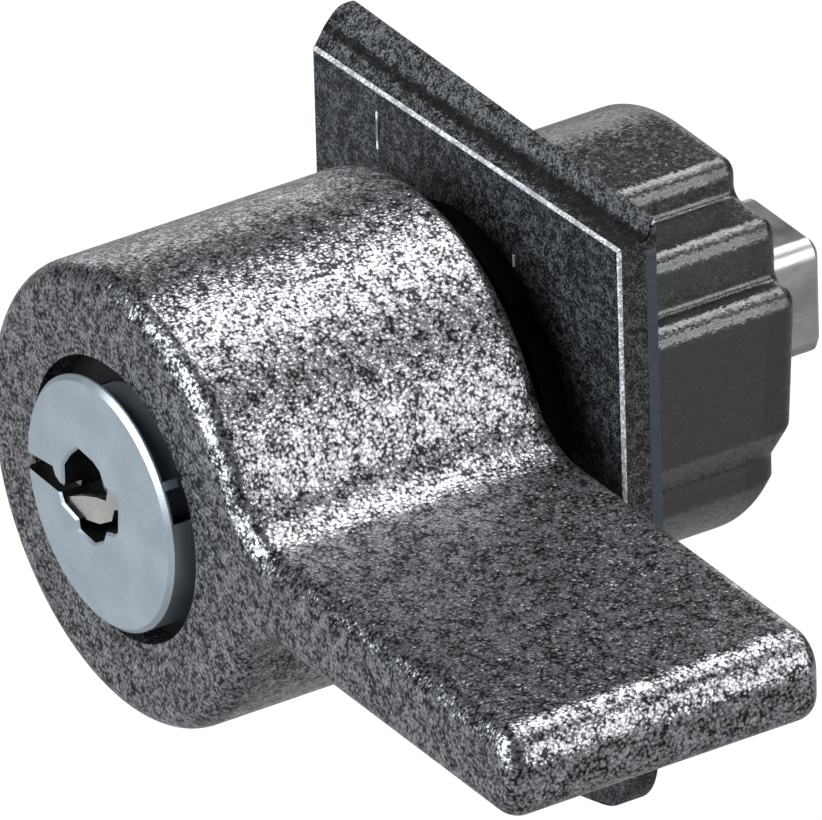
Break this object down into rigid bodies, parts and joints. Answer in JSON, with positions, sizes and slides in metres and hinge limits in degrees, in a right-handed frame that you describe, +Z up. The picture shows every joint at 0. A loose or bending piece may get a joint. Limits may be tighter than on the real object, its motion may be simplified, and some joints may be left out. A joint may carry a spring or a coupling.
{
  "type": "enclosure lock insert",
  "caption": "Key-locking wing knob insert for an enclosure door: barrel knob with a flat wing, lock cylinder, lipped plate with gasket, stepped rear housing and square spindle.",
  "frame": {"origin": "on the lock axis, in the plane of the door's outer surface that the gasket seals against", "axes": "+Y is the lock axis, into the enclosure; +X is the way the wing points at rest; +Z is up, towards the plate's lip"},
  "size_m": [0.0623, 0.0506, 0.0439],
  "materials": {
    "plate_coating": "black powder coat with a fine sandy grain on zinc die-casting",
    "gasket_rubber": "smooth blue-grey foam rubber",
    "housing_coating": "satin black coating with a fine grain on zinc die-casting",
    "cover_coating": "satin black coating with a fine grain on zinc die-casting",
    "screw_steel": "zinc-plated steel",
    "insert_brass": "turned brass",
    "nut_coating": "matt black coating on steel",
    "bush_plastic": "black bearing plastic",
    "knob_coating": "glossy black powder coat with a coarse sandy grain on zinc die-casting",
    "pin_steel": "dark spring steel",
    "grub_steel": "blackened steel",
    "spindle_steel": "plain drawn steel, zinc plated",
    "seal_rubber": "black seal rubber",
    "stop_zinc": "bare zinc die-casting",
    "spring_steel": "spring steel",
    "clip_steel": "phosphated spring steel",
    "sleeve_plastic": "black bearing plastic",
    "cylinder_zinc": "dark bare zinc die-casting",
    "plug_nickel": "satin nickel plate",
    "shutter_steel": "bright spring steel",
    "wafer_brass": "stamped brass",
    "wafer_spring_steel": "spring steel wire",
    "plug_clip_steel": "spring steel",
    "cam_zinc": "bare zinc die-casting",
    "bolt_steel": "zinc-plated steel"
  },
  "bodies": {
    "housing": {"face_plate": "plate_coating", "door_gasket": "gasket_rubber", "rear_housing": "housing_coating", "rear_cover": "cover_coating", "cover_screws": "screw_steel", "fixing_inserts": "insert_brass", "neck_nut": "nut_coating", "front_bush": "bush_plastic"},
    "knob": {"knob_handle": "knob_coating", "roll_pin": "pin_steel", "grub_screw": "grub_steel", "square_spindle": "spindle_steel", "shaft_seal": "seal_rubber", "stop_disc": "stop_zinc", "spring_washer": "spring_steel", "retaining_clip": "clip_steel", "rear_sleeve": "sleeve_plastic", "cylinder_body": "cylinder_zinc"},
    "plug": {"key_plug": "plug_nickel", "dust_shutter": "shutter_steel", "wafer_tumblers": "wafer_brass", "wafer_springs": "wafer_spring_steel", "plug_clip": "plug_clip_steel", "tail_cam": "cam_zinc"},
    "bolt": {"locking_bolt": "bolt_steel"}
  },
  "joints": [
    {"name": "knob_turn", "type": "hinge", "parent": "housing", "child": "knob", "pos_m": [0, 0, 0], "axis": [0, 1, 0], "range_deg": [0, 90]},
    {"name": "key_turn", "type": "hinge", "parent": "knob", "child": "plug", "pos_m": [0, 0, 0], "axis": [0, 1, 0], "range_deg": [0, 90]},
    {"name": "bolt_slide", "type": "slide", "parent": "knob", "child": "bolt", "axis": [0, 0, 1], "range_m": [0, 0.0024]}
  ],
  "couplings": [
    {"joint": "bolt_slide", "follows": "key_turn", "m_per_rad": 0.0015279}
  ]
}
